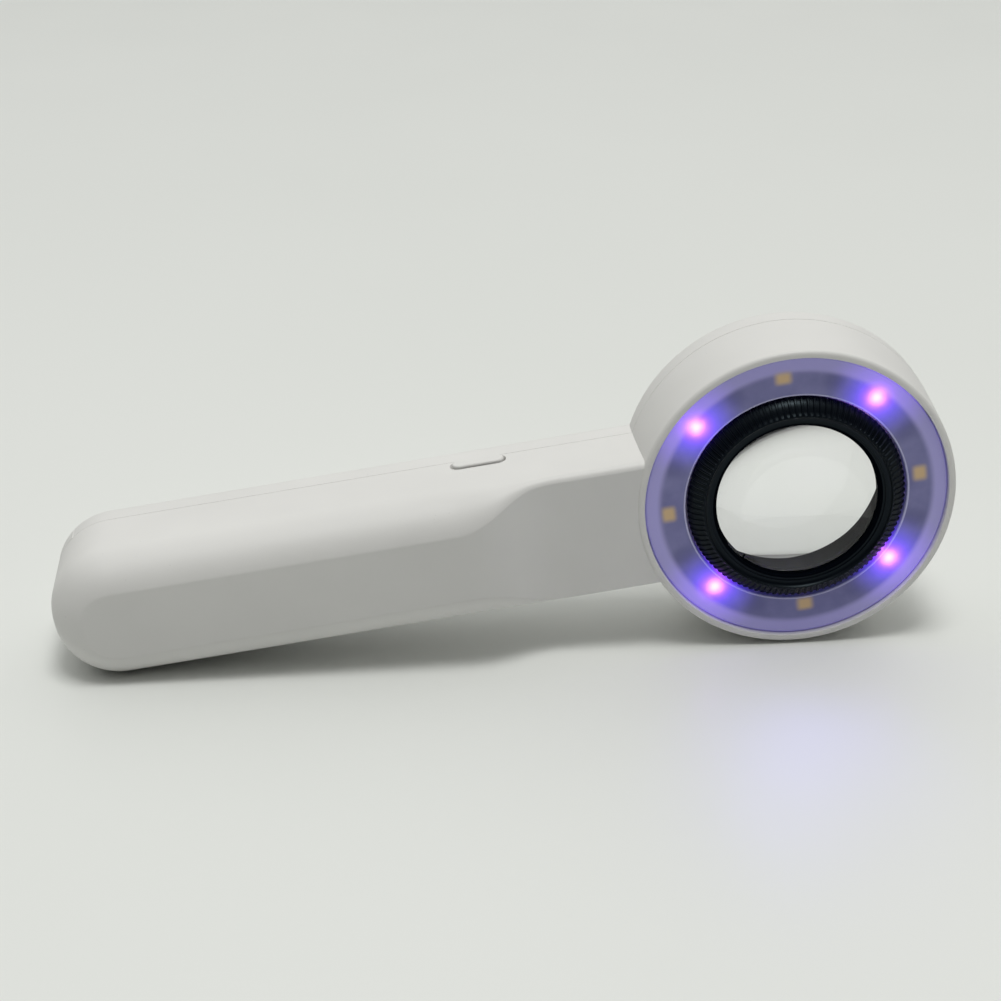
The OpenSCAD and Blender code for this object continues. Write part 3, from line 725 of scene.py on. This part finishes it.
# ------------------------------------------------------------ floor and light
# The magnifier lies on its narrow side: the floor touches the head's round
# outline and the rounded corner of the grip's end.
head_at = Vector((0, 0, 0))
corner_at = Vector((-REACH + CORNER_R, 0, -(HALF_W - CORNER_R))) * MM
apart = head_at - corner_at
lean = math.acos((CORNER_R - HEAD_R) * MM / apart.length)
turn = math.atan2(apart.z, apart.x) - lean
up = -Vector((math.cos(turn), 0, math.sin(turn)))
on_floor = head_at - up * (HEAD_R + 0.01) * MM
along = Vector((up.z, 0, -up.x))
depth = Vector((0, 1, 0))


def floor_sheet():
    """A plain pale table top, wide enough to fill the view."""
    half = 6.0
    ends = ((-half, -half), (half, -half), (half, half), (-half, half))
    spots = [on_floor + along * x + depth * y for x, y in ends]
    mesh = bpy.data.meshes.new("floor")
    mesh.from_pydata(spots, [], [(0, 1, 2, 3)])
    obj = bpy.data.objects.new("floor", mesh)
    bpy.context.scene.collection.objects.link(obj)
    p = Paint("floor")
    cloud = p.noise(2.5, 2)
    tone = p.mix(p.span(cloud, 0.3, 0.7, 0, 1), (0.775, 0.79, 0.765), (0.80, 0.812, 0.79))
    p.set(Base_Color=tone)
    p.set(Roughness=p.span(p.noise(30, 3), 0.3, 0.7, 0.3, 0.4))
    p.set(IOR=1.3)
    p.bump((p.noise(600, 3), 0.03, 0.15))
    obj.data.materials.append(p.mat)
    return obj


def lamp(name, kind, at, aim, power, rgb, size, size_y=None):
    """An area or spot lamp that looks at a point."""
    data = bpy.data.lights.new(name, kind)
    data.energy = power
    data.color = rgb
    if kind == "AREA":
        data.shape = "RECTANGLE"
        data.size = size
        data.size_y = size_y
    else:
        data.shadow_soft_size = size
    obj = bpy.data.objects.new(name, data)
    bpy.context.scene.collection.objects.link(obj)
    obj.location = at
    obj.rotation_mode = "QUATERNION"
    obj.rotation_quaternion = (aim - at).to_track_quat("-Z", "Y")
    return obj


floor_sheet()
middle = Vector((-0.06, -0.015, 0))
above = middle + up * 2.4 - depth * 0.36 + along * 0.1
lamp("overhead", "AREA", above, middle, 27.0, (1.0, 1.0, 0.985), 0.9, 0.75)
# The lit ring's own spill on the table, in front of the head
patch = on_floor - along * 0.004 - depth * 0.07
glow_from = Vector((0.0, -0.034, 0.006))
violet = lamp("violet_spill", "SPOT", glow_from, patch, 0.035, (0.2, 0.17, 1.0), 0.015)
violet.data.spot_size = math.radians(62)
violet.data.spot_blend = 1.0

# A soft ceiling, brightest overhead and a little behind, that the camera sees as a plain backdrop
BACKDROP = 0.75
world = bpy.data.worlds.new("studio")
world.use_nodes = True
tree = world.node_tree
sky = tree.nodes["Background"]
facing = tree.nodes.new("ShaderNodeVectorMath")
facing.operation = "DOT_PRODUCT"
tree.links.new(tree.nodes.new("ShaderNodeTexCoord").outputs["Generated"], facing.inputs[0])
facing.inputs[1].default_value = (up + depth * 0.45).normalized()
spread = tree.nodes.new("ShaderNodeMapRange")
spread.interpolation_type = "SMOOTHSTEP"
for key, v in (("From Min", 0.1), ("From Max", 0.95), ("To Min", 0.03), ("To Max", 0.8)):
    spread.inputs[key].default_value = v
tree.links.new(facing.outputs["Value"], spread.inputs["Value"])
rays = tree.nodes.new("ShaderNodeLightPath")
seen = tree.nodes.new("ShaderNodeMix")
tree.links.new(rays.outputs["Is Camera Ray"], seen.inputs[0])
tree.links.new(spread.outputs[0], seen.inputs[2])
seen.inputs[3].default_value = BACKDROP
tree.links.new(seen.outputs[0], sky.inputs[1])
sky.inputs[0].default_value = (0.955, 0.965, 0.935, 1)
bpy.context.scene.world = world

# ------------------------------------------------------------------- camera
# The photograph's angle: nearly square to the light ring, from above, tipped a
# little to one side.
azimuth, elevation, roll = math.radians(-0.466), math.radians(26.49), math.radians(-9.247)
aim = Vector((-0.06445, -0.0155, 0.00736))
DISTANCE = 0.48861
FOCAL_MM = 79.12
flat = math.cos(elevation)
back = Vector((math.sin(azimuth) * flat, -math.cos(azimuth) * flat, math.sin(elevation)))
level = Vector((math.cos(azimuth), math.sin(azimuth), 0))
lift = back.cross(level)
right = level * math.cos(roll) + lift * math.sin(roll)
over = back.cross(right)
data = bpy.data.cameras.new("camera")
data.lens = FOCAL_MM
data.sensor_width = 36
data.clip_start, data.clip_end = 0.01, 20
camera = bpy.data.objects.new("camera", data)
bpy.context.scene.collection.objects.link(camera)
turned = Matrix((right, over, back)).transposed().to_4x4()
turned.translation = aim + back * DISTANCE
camera.matrix_world = turned
bpy.context.scene.camera = camera
bpy.context.scene.view_settings.view_transform = "Standard"
